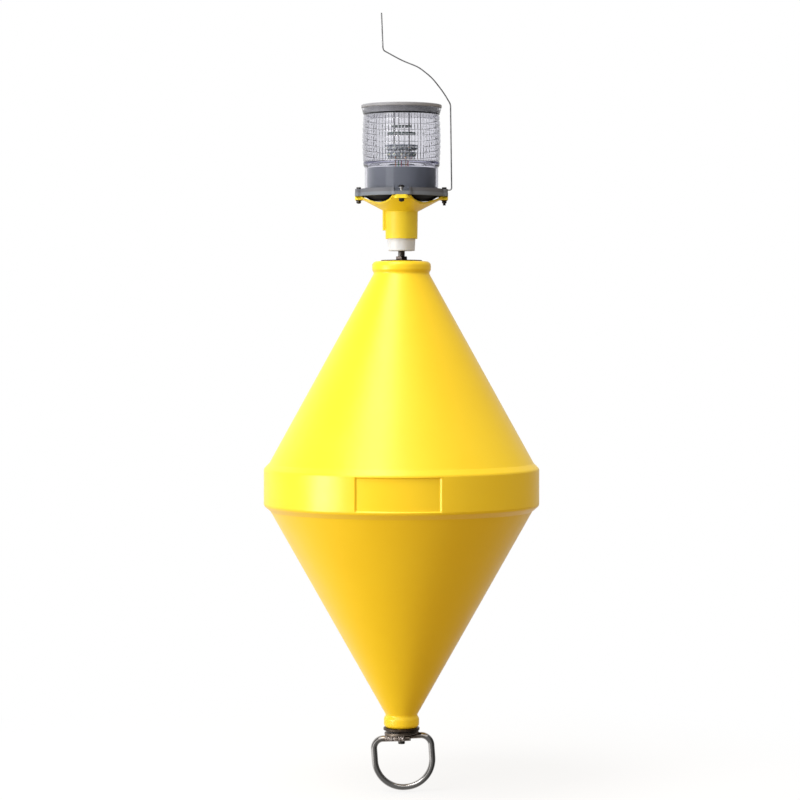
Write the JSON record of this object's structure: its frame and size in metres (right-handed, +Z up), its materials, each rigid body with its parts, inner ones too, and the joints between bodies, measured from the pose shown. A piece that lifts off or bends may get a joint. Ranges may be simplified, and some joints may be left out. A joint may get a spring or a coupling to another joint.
{
  "type": "navigation buoy",
  "caption": "Yellow double-cone navigation buoy with a belly band, drum-lens lantern on an arm bracket, bird wire and welded mooring ring.",
  "frame": {"origin": "on the axis at the middle of the belly band, which is the waterline", "axes": "+Z up along the rod, -Y towards the front with the recessed panel, +X to the right with the bird wire"},
  "size_m": [0.6, 0.5998, 1.6947],
  "materials": {
    "float_yellow": "rotomoulded polyethylene, satin with a fine moulded grain",
    "bracket_yellow": "injection-moulded, satin",
    "rod_steel": "plain threaded steel, dull zinc",
    "plate_steel": "heat-tinted round the welds",
    "ring_steel": "drawn bar, ground ends",
    "wire_steel": "drawn wire",
    "post_steel": "plain",
    "dark_washer": "dark, matt",
    "white_nylon": "turned, satin",
    "base_grey": "moulded, satin",
    "base_dark": "moulded, satin",
    "lid_dark": "moulded, satin",
    "clear_lens": "clear moulded acrylic, polished",
    "bolt_black": "blackened",
    "led_board": "board with moulded emitters",
    "thin_board": "bare board",
    "wire_orange": "insulation",
    "wire_green": "insulation",
    "wire_red": "insulation",
    "wire_yellow": "insulation"
  },
  "bodies": {
    "root": {"hull": "float_yellow", "through_rod": "rod_steel", "top_washer": "dark_washer", "top_nut": "rod_steel", "lower_washer": "dark_washer", "ring_plate": "plate_steel", "mooring_ring": "ring_steel", "rod_bushing": "white_nylon", "lantern_bracket": "bracket_yellow", "base_plate": "base_dark", "lantern_base": "base_grey", "lens_drum": "clear_lens", "cap_disc": "lid_dark", "cap_skirt": "lid_dark", "cover_screw": "bolt_black", "lower_led_board": "led_board", "upper_led_board": "led_board", "driver_board": "thin_board", "cap_board": "thin_board", "bird_wire": "wire_steel", "lantern_bolt_1": "bolt_black", "lantern_nut_1": "bolt_black", "board_post_1": "post_steel", "lantern_bolt_2": "bolt_black", "lantern_nut_2": "bolt_black", "board_post_2": "post_steel", "lantern_bolt_3": "bolt_black", "lantern_nut_3": "bolt_black", "board_post_3": "post_steel", "lantern_bolt_4": "bolt_black", "lantern_nut_4": "bolt_black", "board_post_4": "post_steel", "supply_wire_1": "wire_orange", "supply_wire_2": "wire_green", "supply_wire_3": "wire_red", "supply_wire_4": "wire_yellow", "supply_wire_5": "wire_red"}
  },
  "joints": []
}
